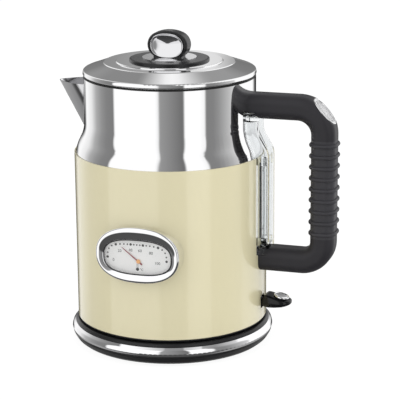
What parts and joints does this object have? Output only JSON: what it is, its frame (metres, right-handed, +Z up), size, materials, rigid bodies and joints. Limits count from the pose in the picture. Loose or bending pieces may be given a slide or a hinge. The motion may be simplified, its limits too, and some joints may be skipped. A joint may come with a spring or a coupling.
{
  "type": "electric kettle",
  "caption": "Cordless electric kettle: cream jacket, polished neck and spout, black ribbed D handle, water level window, dial thermometer, rocker switch, lift-off lid and round power base.",
  "frame": {"origin": "on the kettle's axis, on the table under the power base's centre foot", "axes": "+Z up, +X towards the handle and the switch lever, -X towards the spout, -Y out of the thermometer's dial"},
  "size_m": [0.2262, 0.1609, 0.246],
  "materials": {
    "black_plastic": "fine satin black moulding",
    "soft_black": "soft-touch black, matte",
    "foot_rubber": "matte",
    "cream_enamel": "glossy cream enamel over steel",
    "polished_steel": "mirror polished stainless steel",
    "chrome_trim": "bright chrome trim",
    "brushed_steel": "plain steel",
    "aluminium": "bare",
    "brass": "bare contact metal",
    "clear_plastic": "clear water-white plastic",
    "silicone": "dark silicone",
    "dial_white": "pale printed dial",
    "needle_red": "orange-red",
    "white_plastic": "heat-proof moulding"
  },
  "bodies": {
    "power_base": {"base_bottom_cover": "black_plastic", "base_feet": "foot_rubber", "base_chrome_ring": "chrome_trim", "base_top_cover": "black_plastic", "base_screws": "brushed_steel", "base_socket": "black_plastic", "base_contacts": "brass", "base_terminal_block": "white_plastic"},
    "kettle_connector": {"connector_housing": "black_plastic", "connector_ring": "brass", "connector_pin": "brass"},
    "kettle": {"bottom_cover": "black_plastic", "lever_pin": "brushed_steel", "plate_studs": "brushed_steel", "bottom_cover_screws": "brushed_steel", "heating_plate": "brushed_steel", "heat_diffuser": "aluminium", "heating_element": "brushed_steel", "control_body": "white_plastic", "bimetal_discs": "brass", "steam_switch": "white_plastic", "steam_tube": "brushed_steel", "vessel": "polished_steel", "spout": "polished_steel", "jacket": "cream_enamel", "handle_left_half": "soft_black", "handle_right_half": "soft_black", "handle_joining_screws": "brushed_steel", "handle_bracket_upper": "brushed_steel", "handle_bracket_lower": "brushed_steel", "handle_bracket_screws": "brushed_steel", "grip_sleeve": "soft_black", "badge_rim": "chrome_trim", "badge_plate": "chrome_trim", "water_gauge_window": "clear_plastic", "water_gauge_seal": "silicone", "level_tube": "clear_plastic", "gauge_bezel": "chrome_trim", "gauge_housing": "black_plastic", "gauge_dial": "dial_white", "gauge_lens": "clear_plastic", "gauge_probe": "brushed_steel", "gauge_bimetal_coil": "brass", "gauge_probe_seal": "silicone", "gauge_probe_nut": "brushed_steel"},
    "needle": {"gauge_needle": "needle_red", "gauge_spindle": "brushed_steel"},
    "lever": {"switch_lever": "black_plastic", "lever_pad": "chrome_trim"},
    "filter": {"filter_frame": "black_plastic", "filter_mesh": "brushed_steel"},
    "lid": {"lid_cover": "polished_steel", "lid_plug": "black_plastic", "lid_gasket": "silicone", "knob_disc": "black_plastic", "knob_dish": "polished_steel", "knob_body": "black_plastic", "knob_plates": "chrome_trim", "knob_screw": "brushed_steel"}
  },
  "joints": [
    {"name": "kettle_lift", "type": "slide", "parent": "power_base", "child": "kettle_connector", "axis": [0, 0, 1], "range_m": [0, 0.06]},
    {"name": "kettle_swivel", "type": "hinge", "parent": "kettle_connector", "child": "kettle", "pos_m": [0, 0, 0.028], "axis": [0, 0, 1], "continuous": true},
    {"name": "lid_lift", "type": "slide", "parent": "kettle", "child": "lid", "axis": [0, 0, 1], "range_m": [0, 0.06]},
    {"name": "switch_press", "type": "hinge", "parent": "kettle", "child": "lever", "pos_m": [0.062, 0, 0.034], "axis": [0, 1, 0], "range_deg": [0, 8]},
    {"name": "needle_turn", "type": "hinge", "parent": "kettle", "child": "needle", "pos_m": [0, -0.078, 0.083], "axis": [0, 1, 0], "range_deg": [-34, 139], "stiffness_Nm_per_rad": 0.00002},
    {"name": "filter_pull", "type": "slide", "parent": "kettle", "child": "filter", "axis": [1, 0, 0], "range_m": [0, 0.014]}
  ]
}
